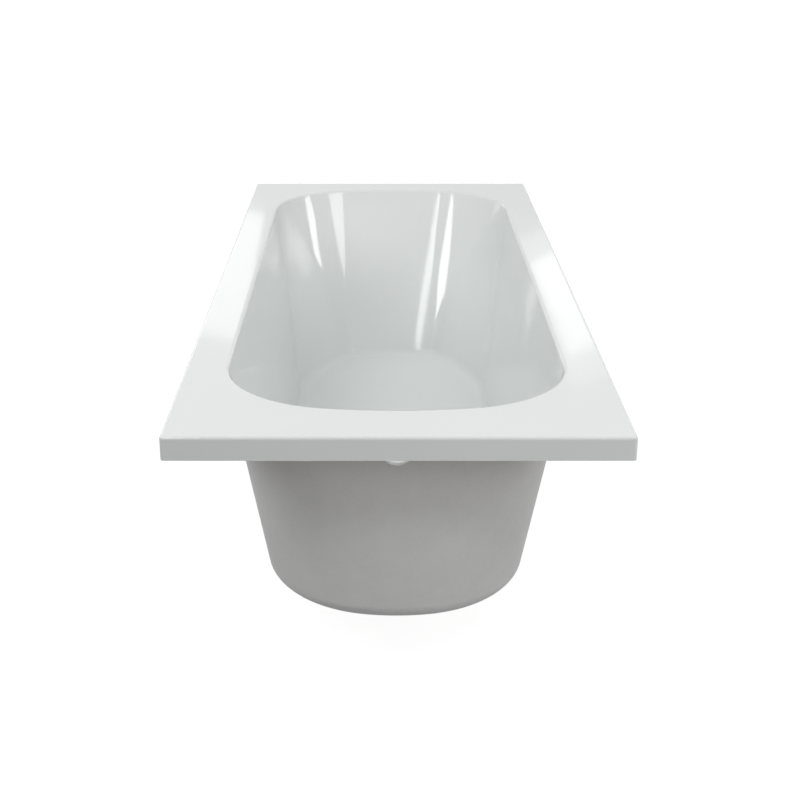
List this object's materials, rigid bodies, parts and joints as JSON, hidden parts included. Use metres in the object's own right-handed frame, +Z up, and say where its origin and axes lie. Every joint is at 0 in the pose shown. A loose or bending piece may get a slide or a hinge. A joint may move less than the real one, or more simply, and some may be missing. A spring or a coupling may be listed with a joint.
{
  "type": "alcove bathtub",
  "caption": "Single-ended rectangular bath: glossy acrylic shell with flat rim and short lip, laminate-backed, on a baseboard with leg bars and screw feet, waste and overflow holes open.",
  "frame": {"origin": "on the floor under the centre of the rim, with the feet wound fully in", "axes": "+X to the right seen from the foot end, +Y along the bath from the foot (waste) end to the head end, +Z up"},
  "size_m": [0.7, 1.7, 0.48],
  "materials": {
    "white_acrylic": "high gloss vacuum-formed sheet",
    "grey_laminate": "matt sprayed glass-fibre and resin, slightly rough",
    "chipboard": "bare chipboard",
    "timber": "sawn softwood",
    "zinc_steel": "zinc-plated pressed steel",
    "bright_steel": "bright zinc-plated fasteners",
    "black_plastic": "moulded black plastic"
  },
  "bodies": {
    "bath": {"acrylic_shell": "white_acrylic", "glass_fibre_laminate": "grey_laminate", "baseboard": "chipboard", "rim_batten_left": "timber", "rim_batten_right": "timber", "rim_batten_foot": "timber", "rim_batten_head": "timber", "leg_bar_foot": "zinc_steel", "leg_bar_head": "zinc_steel", "leg_bar_screws": "bright_steel", "wall_brackets": "zinc_steel", "wall_bracket_screws": "bright_steel", "leg_bar_washers": "bright_steel"},
    "screw_foot_foot_left": {"foot_stud_foot_left": "bright_steel", "foot_pad_foot_left": "black_plastic"},
    "nuts_foot_left": {"adjusting_nuts_foot_left": "bright_steel"},
    "screw_foot_foot_right": {"foot_stud_foot_right": "bright_steel", "foot_pad_foot_right": "black_plastic"},
    "nuts_foot_right": {"adjusting_nuts_foot_right": "bright_steel"},
    "screw_foot_head_left": {"foot_stud_head_left": "bright_steel", "foot_pad_head_left": "black_plastic"},
    "nuts_head_left": {"adjusting_nuts_head_left": "bright_steel"},
    "screw_foot_head_right": {"foot_stud_head_right": "bright_steel", "foot_pad_head_right": "black_plastic"},
    "nuts_head_right": {"adjusting_nuts_head_right": "bright_steel"}
  },
  "joints": [
    {"name": "nuts_turn_foot_left", "type": "hinge", "parent": "bath", "child": "nuts_foot_left", "pos_m": [-0.2, -0.36, 0.045], "axis": [0, 0, 1], "range_deg": [0, 5143]},
    {"name": "foot_travel_foot_left", "type": "slide", "parent": "bath", "child": "screw_foot_foot_left", "axis": [0, 0, -1], "range_m": [0, 0.025]},
    {"name": "nuts_turn_foot_right", "type": "hinge", "parent": "bath", "child": "nuts_foot_right", "pos_m": [0.2, -0.36, 0.045], "axis": [0, 0, 1], "range_deg": [0, 5143]},
    {"name": "foot_travel_foot_right", "type": "slide", "parent": "bath", "child": "screw_foot_foot_right", "axis": [0, 0, -1], "range_m": [0, 0.025]},
    {"name": "nuts_turn_head_left", "type": "hinge", "parent": "bath", "child": "nuts_head_left", "pos_m": [-0.2, 0.43, 0.045], "axis": [0, 0, 1], "range_deg": [0, 5143]},
    {"name": "foot_travel_head_left", "type": "slide", "parent": "bath", "child": "screw_foot_head_left", "axis": [0, 0, -1], "range_m": [0, 0.025]},
    {"name": "nuts_turn_head_right", "type": "hinge", "parent": "bath", "child": "nuts_head_right", "pos_m": [0.2, 0.43, 0.045], "axis": [0, 0, 1], "range_deg": [0, 5143]},
    {"name": "foot_travel_head_right", "type": "slide", "parent": "bath", "child": "screw_foot_head_right", "axis": [0, 0, -1], "range_m": [0, 0.025]}
  ],
  "couplings": [
    {"joint": "nuts_turn_foot_left", "follows": "foot_travel_foot_left", "rad_per_m": 3590.4},
    {"joint": "nuts_turn_foot_right", "follows": "foot_travel_foot_right", "rad_per_m": 3590.4},
    {"joint": "nuts_turn_head_left", "follows": "foot_travel_head_left", "rad_per_m": 3590.4},
    {"joint": "nuts_turn_head_right", "follows": "foot_travel_head_right", "rad_per_m": 3590.4}
  ]
}
